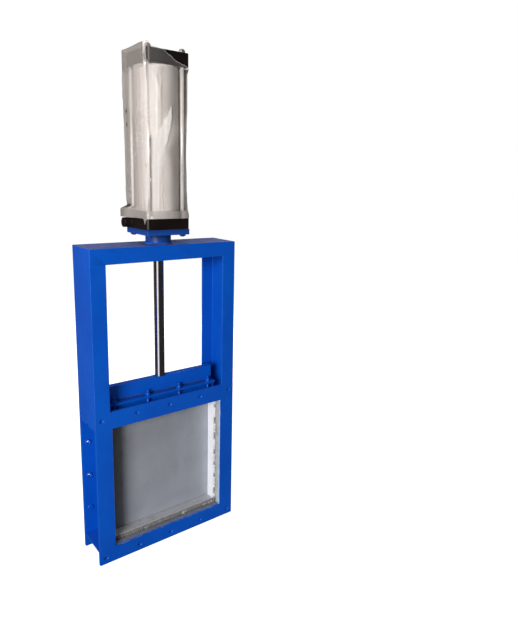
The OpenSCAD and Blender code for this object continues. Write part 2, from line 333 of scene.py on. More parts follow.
def enamel():
    """Blue enamel sprayed over welded steel: orange peel, dust, worn edges, and bare steel in the port."""
    paint = Finish("blue_enamel", Specular_IOR_Level=0.22, Coat_Weight=0.05, Coat_Roughness=0.16)
    grain = paint.group("grain", Fine=420.0, Coarse=5.0, Stretch=(1, 1, 1))
    patches = paint.ramp(grain["Patches"], 0.35, 0.65)
    paint.under(patches, setting("paint", "deep"), setting("paint", "colour"))
    height, rail, gland = paint.place["Z"], RAIL_HIGH.z, FOLLOWER_HIGH.z
    dust = paint.times(
        paint.group("settled dust", Amount=0.62, Size=16.0)["Mask"],
        paint.ramp(height, 0.8, 1.2, 0.04, 1.0),
        paint.ramp(height, rail + 0.006, rail + 0.002),
    )
    paint.over(dust, setting("paint", "dust"))
    paint.over(paint.group("edge wear", Radius=0.0030, Amount=0.5, Size=70.0)["Mask"], (0.030, 0.13, 0.52))
    # The cylinder keeps the light off the neck and the plate, most of all right under its cap.
    aloft = paint.ramp(height, rail + 0.001, rail + 0.012, 0.0, 0.76)
    aloft = paint.maths("ADD", aloft, paint.ramp(height, PLATE_LOW.z - 0.001, PLATE_LOW.z, 0.0, -0.40))
    close = paint.ramp(height, PLATE_LOW.z + 0.005, PLATE_HIGH.z - 0.001, 0.0, 0.54)
    paint.over(paint.maths("ADD", aloft, close), (0.012, 0.030, 0.105))
    # Painted shade, with oil and dust from the gland, darkens the bottom of the trough that the gland lies
    # in.
    trough_shade = paint.times(
        paint.ramp(height, FOLLOWER_LOW.z - 0.04, FOLLOWER_LOW.z - 0.02),
        paint.ramp(height, gland + 0.012, gland + 0.002),
        paint.ramp(paint.size(paint.place["Y"]), FLANGE_HIGH.y + 0.001, FLANGE_HIGH.y - 0.001),
        paint.ramp(paint.size(paint.place["X"]), COLUMN_INNER + 0.001, COLUMN_INNER - 0.001),
        paint.ramp(paint.facing["Z"], -0.3, 0.6, 0.50, 0.86),
    )
    paint.over(trough_shade, (0.0006, 0.012, 0.075))
    # Inside the port the steel is bare, stained, and misted with blue beside the enamel's edge.
    half_width, low, high, face = SEAT_HIGH.x, SEAT_LOW.z, SEAT_HIGH.z, -FLANGE_LOW.y
    port = paint.group("bare port", Half_width=half_width, Low=low, High=high, Face=face)
    stain = paint.cloud((22.0, 6.0, 0.7), 0.40, 0.62)
    upright = paint.blend(stain, (0.40, 0.415, 0.41), (0.30, 0.30, 0.28))
    lying = paint.blend(stain, (0.185, 0.190, 0.215), (0.155, 0.140, 0.135))
    mist = paint.blend(port["Floor"], (0.33, 0.47, 0.74), (0.05, 0.13, 0.40))
    bare = paint.blend(port["Floor"], upright, lying)
    paint.over(port["Mask"], paint.blend(paint.times(port["Mist"], 0.85), bare, mist))
    level = setting("paint", "roughness")
    rough = paint.cloud((11.0, 5.0, 0.65), 0.3, 0.7, level - 0.07, level + 0.09)
    rough = paint.maths("ADD", rough, paint.times(dust, 0.25), True)
    rough = paint.maths("ADD", rough, paint.times(port["Mask"], 0.15), True)
    return paint.done(rough, grain["Height"], 0.08, 0.0012)


def plate_steel():
    """The gate's cold rolled sheet: level grey with long faint stains, and painted shade at its top and left
    edge.
    """
    sheet = Finish("gate_sheet", Metallic=0.35)
    grain = sheet.group("grain", Fine=260.0, Coarse=3.0, Stretch=(0.05, 1, 1))
    gate, height = setting("steel", "gate"), sheet.place["Z"]
    sheet.under(sheet.ramp(grain["Patches"], 0.3, 0.7), scaled(gate, 1.06), scaled(gate, 1.38))
    # Painted shade darkens the plate towards its top, and brown stains lie on it in patches.
    sheet.over(sheet.ramp(height, SEAT_LOW.z + 0.05, SEAT_HIGH.z, 0.0, 0.17), (0.03, 0.03, 0.035))
    sheet.over(sheet.cloud((9.0, 6.0, 0.68), 0.56, 0.78, 0.0, 0.35), (0.16, 0.15, 0.12))
    # A painted shadow darkens the plate's left edge, and overspray lies where the plate stands in the
    # packing.
    sheet.over(sheet.ramp(sheet.place["X"], -0.222, -0.150, 0.69, 0.0), (0.020, 0.022, 0.034))
    sheet.over(sheet.ramp(height, SEAT_HIGH.z + 0.015, SEAT_HIGH.z + 0.025, 0.0, 0.90), (0.045, 0.085, 0.28))
    return sheet.done(sheet.cloud((14.0, 5.0, 0.6), 0.3, 0.7, 0.42, 0.58), grain["Height"], 0.06, 0.001)


def bar_steel():
    """The seat bars: bright bare steel, shade painted on top, and burnt dark on the faces beside the welds.
    """
    bar = Finish("seat_bar", Metallic=0.15)
    grain = bar.group("grain", Fine=300.0, Coarse=7.0, Stretch=(1, 1, 1))
    lying = bar.ramp(bar.facing["Z"], 0.5, 0.9)
    seat, height = setting("steel", "seat"), bar.place["Z"]
    # The upward faces get half the sides' grey: painted shade.
    tops_shaded = bar.blend(lying, seat, scaled(seat, 0.50))
    bar.under(bar.ramp(grain["Patches"], 0.30, 0.70), tops_shaded, bar.blend(0.12, tops_shaded, (0, 0, 0)))
    burnt = bar.blend(bar.cloud((60.0, 4.0), 0.4, 0.6), (0.24, 0.235, 0.23), (0.38, 0.37, 0.35))
    raised = bar.ramp(height, SEAT_LOW.z + 0.014, SEAT_LOW.z + 0.022, 0.34, 1.0)
    burnt = bar.blend(raised, (0.150, 0.146, 0.142), burnt)
    end = bar.ramp(bar.size(bar.facing["Y"]), 0.5, 0.9)
    outer = bar.ramp(bar.size(bar.place["X"]), SEAT_HIGH.x - 0.0115, SEAT_HIGH.x - 0.0085)
    low = bar.ramp(height, SEAT_LOW.z + 0.024, SEAT_LOW.z + 0.018)
    bar.over(bar.times(end, bar.maths("MAXIMUM", outer, low)), burnt)
    bar.over(bar.times(lying, bar.cloud((30.0, 6.0, 0.7), 0.56, 0.70, 0.0, 0.6)), setting("steel", "rust"))
    return bar.done(bar.cloud((30.0, 4.0, 0.6), 0.3, 0.7, 0.36, 0.56), grain["Height"], 0.10, 0.001)


def weld_metal():
    """Laps of weld with a dull silver skin, darker in the valleys and where they lie in the port's bottom."""
    weld = Finish("weld_metal", Metallic=0.1)
    silver = (0.46, 0.455, 0.45)
    bright = weld.blend(weld.cloud((45.0, 4.0, 0.6), 0.34, 0.60), silver, (0.66, 0.65, 0.655))
    dull = weld.blend(weld.cloud((21.0, 5.0, 0.6), 0.52, 0.66), (0.150, 0.148, 0.145), silver)
    weld.under(weld.ramp(weld.place["Z"], SEAT_LOW.z + 0.018, SEAT_LOW.z + 0.034), dull, bright)
    return weld.done(weld.cloud((120.0, 3.0), 0.3, 0.7, 0.32, 0.52), weld.speckle(400.0, 3.0), 0.15, 0.0006)


def chrome():
    """The piston rod, bright, smeared with oil in patches, with painted dark reflections at its two limbs."""
    rod = Finish("hard_chrome", Metallic=1.0)
    smear = rod.speckle(25.0, 5.0, 0.65)
    rod.under(rod.ramp(smear, 0.4, 0.6), (0.50, 0.49, 0.485), (0.58, 0.57, 0.57))
    # Painted reflection: the rod darkens toward its limbs, by how far its surface turns from the eye.
    painted_dark_limbs = rod.ramp(rod.add("ShaderNodeLayerWeight", {"Blend": 0.5}).outputs["Facing"], 0.45, 0.75)
    rod.over(painted_dark_limbs, (0.060, 0.052, 0.045))
    rod.feed(rod.shader, {"Specular Tint": rod.blend(painted_dark_limbs, (1, 1, 1), (0.10, 0.09, 0.08))})
    return rod.done(rod.ramp(smear, 0.35, 0.7, 0.06, 0.13))


def clear_film():
    """Crinkled polythene: milky, light and warm by its own attributes, with the finest creases from noise."""
    film = Finish("clear_film", Specular_IOR_Level=0.28)
    haze, light, warm = (
        film.add("ShaderNodeAttribute", attribute_name=name).outputs["Fac"] for name in FILM_LAYERS
    )
    crumple = film.speckle(34.0, 6.0, 0.60, film.vector("MULTIPLY", film.where, (1.0, 1.0, 0.55)))
    broad = film.speckle(9.0, 3.0, 0.55)
    off = film.size(film.maths("SUBTRACT", crumple, 0.5))
    height = film.place["Z"]
    lively = film.times(film.ramp(height, 1.40, 1.43), film.ramp(height, 1.82, 1.68))
    sharp = film.maths("SUBTRACT", 1.0, film.times(off, 30.0), True)
    ridge = film.times(sharp, film.ramp(broad, 0.50, 0.64), lively)
    alpha = film.maths("ADD", haze, film.times(ridge, 0.14), True)
    alpha = film.maths("MULTIPLY", alpha, film.ramp(broad, 0.3, 0.7, 0.94, 1.04), True)
    film.feed(film.shader, {"Alpha": alpha})
    dark = film.blend(warm, (0.050, 0.044, 0.034), (0.058, 0.036, 0.028))
    pale = film.blend(warm, (0.875, 0.825, 0.785), (0.895, 0.80, 0.74))
    # The light attribute carries painted light and shade.
    film.under(light, dark, pale)
    # Painted highlights lie on the creases' ridges.
    film.over(film.times(ridge, 0.40), (0.95, 0.92, 0.89))
    return film.done(film.ramp(broad, 0.3, 0.7, 0.19, 0.32), crumple, 0.16, 0.003)


def two_tone(name, tones, spread, patches, rough, levels, bump, relief, worn=None, **sockets):
    """A plain finish. Its tones fade over the spread to each side of the middle of the patches' noise.

    patches, rough and bump are noises, as scale and detail. A bump of three numbers is grain drawn out along
    the height, whose own patches are then taken: fine scale, coarse scale and stretch.
    """
    made = Finish(name, **sockets)
    if len(bump) == 3:
        grain = made.group("grain", Fine=bump[0], Coarse=bump[1], Stretch=(1, 1, bump[2]))
        cloud, height = grain["Patches"], grain["Height"]
    else:
        cloud, height = made.speckle(*patches), made.speckle(*bump)
    made.under(made.ramp(cloud, 0.5 - spread, 0.5 + spread), *tones)
    if worn:
        made.over(made.group("edge wear", Radius=0.002, Amount=0.5, Size=90.0)["Mask"], worn)
    return made.done(made.cloud(rough, 0.3, 0.7, *levels), height, *relief)


def zinc():
    tones = (0.50, 0.50, 0.50), (0.74, 0.74, 0.72)
    return two_tone(
        "zinc_plating", tones, 0.15, (60.0, 4.0), (90.0, 4.0), (0.22, 0.42), (700.0, 2.0), (0.08, 0.0005),
        Metallic=0.9,
    )


def black_anodising():
    tones = (0.0045, 0.0024, 0.0022), (0.0080, 0.0050, 0.0045)
    return two_tone(
        "black_anodising", tones, 0.15, (18.0, 5.0), (40.0, 5.0), (0.38, 0.55), (900.0, 2.0), (0.18, 0.0006),
        worn=(0.09, 0.085, 0.08), Specular_IOR_Level=0.22,
    )


def barrel_alloy():
    """Drawn aluminium with a pearl-like sheen and fine lines along its length."""
    tones = (0.585, 0.528, 0.482), (0.675, 0.620, 0.575)
    return two_tone(
        "barrel_alloy", tones, 0.2, None, (16.0, 4.0), (0.48, 0.60), (500.0, 5.0, 0.02), (0.05, 0.0006),
        Metallic=0.10, Specular_IOR_Level=0.25,
    )


def tie_steel():
    """Bright drawn bars, paler and softer than the plated nuts."""
    tones = (0.81, 0.755, 0.70), (0.92, 0.87, 0.82)
    return two_tone(
        "tie_bar_steel", tones, 0.15, None, (30.0, 4.0), (0.26, 0.38), (600.0, 12.0, 0.03), (0.05, 0.0005),
        Metallic=0.25,
    )


def bronze():
    tones = (0.42, 0.26, 0.11), (0.55, 0.37, 0.17)
    return two_tone(
        "bronze", tones, 0.1, (40.0, 3.0), (80.0, 3.0), (0.28, 0.42), (600.0, 3.0), (0.1, 0.0005),
        Metallic=0.9,
    )


def turned_alloy():
    tones = (0.50, 0.50, 0.51), (0.62, 0.62, 0.63)
    return two_tone(
        "turned_alloy", tones, 0.1, (30.0, 3.0), (60.0, 3.0), (0.25, 0.4), (500.0, 3.0), (0.1, 0.0005),
        Metallic=0.9,
    )


def rope_fibre():
    """Greased braid of the gland's packing, with the enamel's overspray on it."""
    tones = (0.055, 0.075, 0.20), (0.15, 0.18, 0.36)
    return two_tone(
        "packing_rope", tones, 0.15, (160.0, 4.0), (90.0, 3.0), (0.6, 0.8), (420.0, 3.0), (0.5, 0.001),
        Sheen_Weight=0.2,
    )


MATERIALS = {}
FINISHES = {
    "blue_paint": enamel, "gate_steel": plate_steel, "seat_steel": bar_steel, "weld": weld_metal,
    "zinc": zinc, "tie_steel": tie_steel, "black_cap": black_anodising, "barrel": barrel_alloy,
    "chrome": chrome, "bronze": bronze, "piston_alloy": turned_alloy, "packing": rope_fibre,
    "film": clear_film,
}


def finish(name):
    if name not in MATERIALS:
        MATERIALS[name] = FINISHES[name]()
    return MATERIALS[name]


# ---- Making pieces ----


def piece_from(bm, name, slot, look=None, body="valve_body", stands_for=(), smooth=True):
    """Ends a bmesh as a piece that rides on a body, stands for some solids and wears one finish."""
    mesh = bpy.data.meshes.new(name)
    bm.to_mesh(mesh)
    bm.free()
    if smooth:
        mesh.shade_smooth()
    piece = bpy.data.objects.new(name, mesh)
    bpy.context.scene.collection.objects.link(piece)
    mesh.materials.append(finish(look or slot))
    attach(piece, body)
    if stands_for:
        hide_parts(*stands_for)
    return piece


def solid(name):
    """A merged copy of one node's mesh, its flat faces made whole."""
    bm = bmesh.new()
    bm.from_mesh(frame["nodes"][name].data)
    bmesh.ops.remove_doubles(bm, verts=bm.verts, dist=0.00001)
    bmesh.ops.dissolve_limit(
        bm, angle_limit=math.radians(1), use_dissolve_boundaries=False, verts=bm.verts, edges=bm.edges
    )
    return bm


def weigh_edges(bm, keep=None):
    """Marks every sharp edge for rounding, apart from those whose middle the test keeps."""
    weights = bm.edges.layers.float.new("bevel_weight_edge")
    for edge in bm.edges:
        if not edge.is_manifold or edge.calc_face_angle(0) < SHARP:
            continue
        if keep and keep((edge.verts[0].co + edge.verts[1].co) / 2):
            edge.smooth = False
        else:
            edge[weights] = 1


def rounded(names, slot, radius, segments=2, body="valve_body", keep=None, cuts=()):
    """Dresses solids, cut across at some places first: rounds their edges and keeps their faces flat."""
    for name in names:
        bm = solid(name)
        for x in cuts:
            parts = bm.verts[:] + bm.edges[:] + bm.faces[:]
            bmesh.ops.bisect_plane(bm, geom=parts, dist=0.00001, plane_co=(x, 0, 0), plane_no=(1, 0, 0))
        weigh_edges(bm, keep)
        piece = piece_from(bm, "dressed_" + name, slot, body=body, stands_for=[name])
        bevel = piece.modifiers.new("rounded edges", "BEVEL")
        bevel.limit_method, bevel.width, bevel.segments = "WEIGHT", radius, segments
        bevel.use_clamp_overlap = False
        level = piece.modifiers.new("level faces", "WEIGHTED_NORMAL")
        level.weight, level.keep_sharp = 100, True


def spun(bm, profile, place, segments, axis=(0, 0, 1)):
    """A closed profile of (radius, height) points turned once round an axis through the place."""
    known = set(bm.verts)
    verts = [bm.verts.new((radius, 0, height)) for radius, height in profile]
    edges = [bm.edges.new((a, b)) for a, b in zip(verts, verts[1:] + verts[:1])]
    bmesh.ops.spin(
        bm, geom=verts + edges, cent=(0, 0, 0), axis=(0, 0, 1), angle=math.tau, steps=segments, use_merge=True
    )
    turn = Vector((0, 0, 1)).rotation_difference(Vector(axis)).to_matrix().to_4x4()
    made = [vert for vert in bm.verts if vert not in known]
    bmesh.ops.transform(bm, matrix=Matrix.Translation(Vector(place)) @ turn, verts=made)
    bmesh.ops.recalc_face_normals(bm, faces=[face for face in bm.faces if face.verts[0] not in known])


def round_bar(bm, x, y, radius, low, high, segments):
    """A plain round bar between two heights."""
    spun(bm, [(AXIS, low), (radius, low), (radius, high), (AXIS, high)], (x, y, 0), segments)


def thread(bm, x, y, radius, low, high, pitch, segments):
    """A threaded bar between two heights."""
    count = max(2, int((high - low) / pitch))
    root, turn = radius - 0.55 * pitch, (high - low) / count
    points = [(AXIS, low)]
    for k in range(count):
        z = low + (high - low) * k / count
        points += [(root, z), (radius, z + turn * 0.5)]
    spun(bm, points + [(root, high), (AXIS, high)], (x, y, 0), segments)


def hexagon(bm, place, width, height):
    """A nut's body standing on its place, the corners of both faces taken off."""
    corner = width / math.cos(math.radians(30)) / 2
    middle = Matrix.Translation(Vector(place) + Vector((0, 0, height / 2)))
    made = bmesh.ops.create_cone(
        bm, cap_ends=True, segments=6, radius1=corner, radius2=corner, depth=height,
        matrix=middle @ Matrix.Rotation(math.radians(30), 4, "Z"),
    )
    faces = {face for vert in made["verts"] for face in vert.link_faces}
    rims = [edge for face in faces if len(face.verts) == 6 for edge in face.edges]
    chamfer = height * 0.12
    bmesh.ops.bevel(
        bm, geom=rims, offset=chamfer, offset_type="OFFSET", affect="EDGES", segments=1, profile=0.5,
        material=-1, clamp_overlap=True,
    )


def blob(bm, size, matrix, subdivisions):
    """A round lap of weld, squashed to its size and put in its place."""
    made = bmesh.ops.create_icosphere(bm, subdivisions=subdivisions, radius=1.0)
    bmesh.ops.scale(bm, vec=size, verts=made["verts"])
    bmesh.ops.transform(bm, matrix=matrix, verts=made["verts"])


def weld_run(bm, start, end, width, rng):
    """A run of laps that overlap, from one point to another."""
    along = end - start
    lap = width * 0.45
    steps = max(1, int(along.length / lap))
    turn = along.to_track_quat("Z", "Y").to_matrix().to_4x4()
    for k in range(steps + 1):
        # One draw in each lap goes unused, which keeps the laps and the spatter in their places.
        rng.random()
        size = width * 0.5 * rng.uniform(0.85, 1.15)
        place = Matrix.Translation(start.lerp(end, k / steps))
        blob(bm, (size, size, size * 0.55), place @ turn, 2)


# ---- The yoke and the body ----


def level_with(p, height):
    return abs(p.z - height) < 0.0005


class VALVE_OT_yoke(bpy.types.Operator):
    """The two columns and the rail across their tops, rounded and painted"""

    bl_idname = "valve.yoke"
    bl_label = "Yoke"

    def execute(self, context):
        radius = setting("paint", "edge")

        def column_seam(p):
            return level_with(p, RAIL_LOW.z) or level_with(p, FLANGE_HIGH.z)

        def rail_seam(p):
            return level_with(p, RAIL_LOW.z) and abs(p.x) > COLUMN_INNER + 0.0005

        rounded(["left_column", "right_column"], "blue_paint", radius, 3, keep=column_seam)
        rounded(["top_rail"], "blue_paint", radius, 3, keep=rail_seam, cuts=(-COLUMN_INNER, COLUMN_INNER))
        return {"FINISHED"}


def boss_profile(front, plugged):
    """A threaded boss behind a bolt hole, as (radius, height), with the flange's inner face at height 0."""
    deep, rim, hole = (0.013, 0.0135, 0.0074) if front else (0.004, 0.0118, 0.0064)
    mouth, bore = 0.0088, 0.00895
    outer_face = FLANGE_LOW.y - FLANGE_HIGH.y
    back = [(bore, 0.0), (rim, 0.0), (rim, deep - 0.001), (rim - 0.001, deep)]
    if plugged:
        # The plug is flush with the flange's outer face and covers the hole's rim.
        flush, under, lip = outer_face - 0.0001, outer_face + 0.0001, 0.0092
        return [(lip, flush), (lip, under), (bore, under), *back, (AXIS, deep), (AXIS, flush)]
    start = outer_face + 0.0012
    profile = [(hole, start + 0.0016), (mouth, start), (bore, start), *back]
    if front:
        bottom = start + 0.0038
        return profile + [(AXIS, deep), (AXIS, bottom), (hole, bottom)]
    profile.append((hole + 0.001, deep))
    turn = deep - 0.001
    while turn > start + 0.004:
        profile += [(hole, turn), (hole - 0.0009, turn - 0.001)]
        turn -= 0.002
    return profile


class VALVE_OT_body(bpy.types.Operator):
    """The flanges with the bosses behind their bolt holes, and the walls between them, rounded and painted"""

    bl_idname = "valve.body"
    bl_label = "Body"

    def execute(self, context):
        side_margin, end_margin, ends = 0.025, 0.027, (0, 4)
        wide = FLANGE_HIGH.x - FLANGE_LOW.x - 2 * side_margin
        tall = FLANGE_HIGH.z - 2 * end_margin
        across = [FLANGE_LOW.x + side_margin + k * wide / 4 for k in range(5)]
        upward = [end_margin + k * tall / 4 for k in range(5)]
        spots = [(i, k) for i in range(5) for k in range(5) if i in ends or k in ends]

        def flange_seam(p):
            rim = any(math.hypot(p.x - across[i], p.z - upward[k]) < 0.0105 for i, k in spots)
            return rim or (level_with(p, FLANGE_HIGH.z) and abs(p.x) > COLUMN_INNER)

        cuts = (-COLUMN_INNER, COLUMN_INNER)
        rounded(["front_flange", "rear_flange"], "blue_paint", 0.0014, keep=flange_seam, cuts=cuts)
        rounded(["left_wall", "right_wall", "bottom_wall"], "blue_paint", 0.0008, 1)
        for side, sign in (("front", -1), ("rear", 1)):
            bm = bmesh.new()
            for i, k in spots:
                # Beside the port, the rear flange's upper two holes are open and the rest have painted plugs.
                plugged = k not in ends and (side == "front" or k == 1)
                place = (across[i], -sign * FLANGE_HIGH.y, upward[k])
                spun(bm, boss_profile(side == "front", plugged), place, 20, axis=(0, -sign, 0))
            bosses = piece_from(bm, side + "_flange_bosses", "blue_paint")
            bosses.data.set_sharp_from_angle(angle=math.radians(30))
        return {"FINISHED"}


class VALVE_OT_seats(bpy.types.Operator):
    """The seat bars, their stitch welds and the spatter left round them"""

    bl_idname = "valve.seats"
    bl_label = "Seats and welds"

    def execute(self, context):
        rounded(["front_seat", "rear_seat"], "seat_steel", 0.0010)
        width, stitch = setting("welds", "bead"), setting("welds", "stitch")
        rng = random.Random(setting("welds", "seed"))
        inset, drops = 0.0055, 90
        left, right = SEAT_LOW.x + inset, SEAT_HIGH.x - inset
        low, high = SEAT_LOW.z + inset, SEAT_HIGH.z - inset
        for side, sign in (("front", -1), ("rear", 1)):
            bm = bmesh.new()
            y = -sign * (SEAT_LOW.y + 0.0010)
            corners = [Vector((x, y, z)) for x, z in ((left, low), (right, low), (right, high), (left, high))]
            runs = list(zip(corners, corners[1:] + corners[:1]))
            for a, b in runs:
                length = (b - a).length
                gap = (0.004, 0.012) if a is corners[0] else (0.022, 0.042)
                done = 0.0
                while done < length - 0.01:
                    run = min(stitch * rng.uniform(0.8, 1.4), length - done)
                    start, end = a.lerp(b, done / length), a.lerp(b, (done + run) / length)
                    weld_run(bm, start, end, width * rng.uniform(0.92, 1.1), rng)
                    done += run + rng.uniform(*gap)
            for _ in range(drops):
                a, b = rng.choice(runs)
                spot = a.lerp(b, rng.random())
                if abs(a.x - b.x) < 0.01:
                    inward = Vector((math.copysign(1, -spot.x), 0, 0))
                else:
                    inward = Vector((0, 0, math.copysign(1, (low + high) / 2 - spot.z)))
                back = rng.uniform(0.004, 0.026)
                size = rng.uniform(0.0007, 0.0019) if rng.random() > 0.05 else 0.0030
                spot += Vector((0, sign * back, 0)) - inward * (inset - size * 0.4)
                bmesh.ops.create_icosphere(bm, subdivisions=1, radius=size, matrix=Matrix.Translation(spot))
            piece_from(bm, side + "_seat_welds", "seat_steel", look="weld")
        return {"FINISHED"}


# ---- The gate, the gland and the cylinder ----


class VALVE_OT_gate(bpy.types.Operator):
    """The gate plate, the beam that lifts it, the piston rod and the piston"""

    bl_idname = "valve.gate"
    bl_label = "Gate, beam and rod"

    def execute(self, context):
        rounded(["gate_plate"], "gate_steel", 0.0006, 1, body="gate")
        rounded(["lifting_beam"], "blue_paint", 0.0016, body="gate")
        rounded(["piston_rod"], "chrome", 0.0010, body="gate")
        rounded(["piston"], "piston_alloy", 0.0008, 1, body="gate")
        return {"FINISHED"}


class VALVE_OT_gland(bpy.types.Operator):
    """The packing box, its rope, the followers and the studs with their nuts"""

    bl_idname = "valve.gland"
    bl_label = "Gland"

    def execute(self, context):
        rounded(["front_gland_box", "rear_gland_box"], "blue_paint", 0.0008, 1)
        rounded(["front_follower", "rear_follower"], "blue_paint", 0.0014)
        rounded(["front_packing", "rear_packing"], "packing", 0.002)
        radius, width, tall, washer = 0.005, 0.017, 0.009, 0.0020
        x_out = STUDS_HIGH.x - width / math.cos(math.radians(30)) / 2
        y_out = STUDS_HIGH.y - width / 2
        base = FOLLOWER_HIGH.z
        ring = [(radius, 0), (0.0105, 0), (0.0105, 0.0014), (0.0098, washer), (radius, washer)]
        bm = bmesh.new()
        for sign in (-1, 1):
            for k in range(4):
                x, y = -x_out + k * x_out * 2 / 3, sign * y_out
                round_bar(bm, x, y, radius, STUDS_LOW.z, base, 20)
                spun(bm, ring, (x, y, base), 24)
                hexagon(bm, (x, y, base + washer), width, tall)
                thread(bm, x, y, radius, base + 0.010, STUDS_HIGH.z, 0.0015, 20)
        piece_from(bm, "gland_stud_nuts", "blue_paint", stands_for=["gland_studs"])
        return {"FINISHED"}


class VALVE_OT_cylinder(bpy.types.Operator):
    """The neck, the mounting plate and the cylinder's caps, barrel, tie rods and nuts"""

    bl_idname = "valve.cylinder"
    bl_label = "Cylinder"

    def execute(self, context):
        rounded(["neck"], "blue_paint", 0.0010)
        rounded(["mounting_plate"], "blue_paint", 0.0015)
        rounded(["bottom_cap", "top_cap"], "black_cap", 0.0013)
        rounded(["rod_bush"], "bronze", 0.0006, 1)
        rounded(["barrel"], "barrel", 0.0006, 1)

        rod = setting("film", "rod")
        pitch = RODS_HIGH.x - rod
        corners = [(sx * pitch, sy * pitch) for sx in (-1, 1) for sy in (-1, 1)]
        seam = PLATE_LOW.z - 0.001
        bm = bmesh.new()
        for x, y in corners:
            round_bar(bm, x, y, rod, seam, RODS_HIGH.z, 28)
        piece_from(bm, "threaded_tie_rods", "zinc", look="tie_steel", stands_for=["tie_rods"])
        bm = bmesh.new()
        for x, y in corners:
            thread(bm, x, y, rod, RODS_LOW.z, seam, 0.002, 28)
        piece_from(bm, "tie_rod_ends", "zinc", look="blue_paint")

        low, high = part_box("plate_bolts")
        width = (high.y - pitch) * 2
        bm = bmesh.new()
        for x, y in corners:
            hexagon(bm, (x, y, low.z), width, high.z - low.z)
        piece_from(bm, "plate_nuts", "zinc", look="blue_paint", stands_for=["plate_bolts"], smooth=False)

        # The dome starts just inside the hexagon's upper face.
        low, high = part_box("tie_rod_nuts")
        tall, sunk = 0.009, 0.0088
        crown, rise = width / 2 - 0.0012, high.z - low.z - tall
        turns = [math.radians(degrees) for degrees in range(0, 90, 11)]
        arc = [(crown * math.cos(turn), sunk + rise * math.sin(turn)) for turn in turns]
        bm = bmesh.new()
        for x, y in corners:
            hexagon(bm, (x, y, low.z), width, tall)
            spun(bm, arc + [(AXIS, sunk + rise), (AXIS, sunk)], (x, y, low.z), 28)
        nuts = piece_from(bm, "domed_nuts", "zinc", stands_for=["tie_rod_nuts"])
        nuts.data.set_sharp_from_angle(angle=math.radians(28))

        # Fillet welds round the neck's foot and under the plate, painted over.
        rng = random.Random(setting("welds", "seed") + 1)
        radius, laps, toe = NECK_HIGH.x + 0.001, 76, 0.0015
        bm = bmesh.new()
        for z in (NECK_LOW.z + toe, NECK_HIGH.z - toe):
            for k in range(laps):
                turn = math.tau * k / laps
                size = 0.0044 * rng.uniform(0.85, 1.15)
                place = Matrix.Translation((radius * math.cos(turn), radius * math.sin(turn), z))
                blob(bm, (size, size * 0.8, size), place @ Matrix.Rotation(turn, 4, "Z"), 1)
        piece_from(bm, "neck_welds", "blue_paint")
        return {"FINISHED"}


# ---- The film ----

# The film's layers: how milky it is, its painted light and shade, and how warm it is.
FILM_LAYERS = ("haze", "light", "warm")
BARREL_FOOT, BARREL_TOP = BARREL_LOW.z, TOP_CAP_LOW

# The film's rows of faces change their spacing where the hem ends and where the hood over the top cap begins.
HEM_END, HOOD_START = 1.425, 1.905
HEM_SHARE, HOOD_SHARE = 0.24, 0.80

# How far each corner of the film stands out, from the rods (0) to the caps (1), by height.
STANDS = {
    135: [
        (BARREL_FOOT + 0.0165, 1.0), (1.406, 0.95), (1.428, 1.14), (1.46, 1.21), (1.62, 1.24), (1.69, 1.30),
        (1.80, 1.42), (1.84, 1.44), (1.99, 1.46),
    ],
    225: [
        (BARREL_FOOT + 0.004, 1.02), (1.40, 0.62), (1.46, 0.34), (1.84, 0.34), (BARREL_TOP, 1.0),
        (1.99, 1.08),
    ],
    315: [
        (BARREL_FOOT + 0.002, 1.02), (1.402, 0.66), (1.43, 0.50), (1.50, 0.44), (1.60, 0.30), (1.70, 0.44),
        (1.78, 0.64), (1.89, 0.67), (BARREL_TOP, 1.0), (1.99, 1.0),
    ],
    45: [
        (BARREL_FOOT + 0.002, 1.02), (1.43, 0.60), (1.50, 0.45), (1.88, 0.45), (BARREL_TOP, 1.0), (1.99, 1.0),
    ],
}
# Height of the film's cut upper edge, by heading.
UPPER_EDGE = [
    (45, 1.936), (60, 1.934), (75, 1.930), (105, 1.929), (118, 1.948), (128, 1.974), (136, 1.9775),
    (225, 1.9835), (230, 1.9840), (233.5, 1.970), (258, 1.9675), (275, 1.951), (291, 1.934), (306, 1.925),
    (313, 1.9185), (330, 1.9175), (350, 1.918), (370, 1.925), (390, 1.932), (405, 1.936),
]
# The flap folded over the film's front, its left and right side by height.
FLAP_LEFT = [
    (1.560, -0.066), (1.60, -0.064), (1.635, -0.058), (1.675, -0.042), (1.715, -0.020), (1.745, -0.002),
    (1.775, 0.010),
]
FLAP_RIGHT = [
    (1.540, -0.020), (1.58, -0.018), (1.62, -0.012), (1.66, 0.002), (1.70, 0.012), (1.735, 0.017),
    (1.775, 0.016),
]
# Where painted shade darkens the front of the film toward the right, and by how much, by height.
PAINTED_SHADE_FROM = [
    (1.42, -0.010), (1.545, -0.008), (1.575, -0.012), (1.616, -0.020), (1.65, -0.006), (1.69, 0.004),
    (1.72, -0.022), (1.76, -0.049),
]
PAINTED_SHADE_SHARE = [(1.40, 0.16), (1.48, 0.18), (1.54, 0.27), (1.66, 0.23), (1.90, 0.17)]
# Painted light on the left side by heading and height, and painted highlights by the front rods, by height.
LEFT_PAINTED_LIGHT = [(140, 0.35), (170, 0.46), (200, 0.64), (214, 0.84), (222, 0.92)]
LEFT_PAINTED_LIGHT_UPWARD = [(1.38, 0.80), (1.44, 0.90), (1.70, 0.88), (1.80, 1.0)]
LEFT_HIGHLIGHT = [(1.41, 0.70), (1.50, 0.76), (1.70, 0.80), (1.80, 0.85)]
RIGHT_HIGHLIGHT = [(1.44, 0.76), (1.54, 0.92), (1.616, 0.72), (1.69, 0.80), (1.76, 0.92), (1.80, 1.0)]
# Painted shade on the right edge's layers, by height.
RIGHT_SHADED_LAYERS = [(1.385, 0.12), (1.43, 0.17), (1.47, 0.10), (1.60, 0.065)]
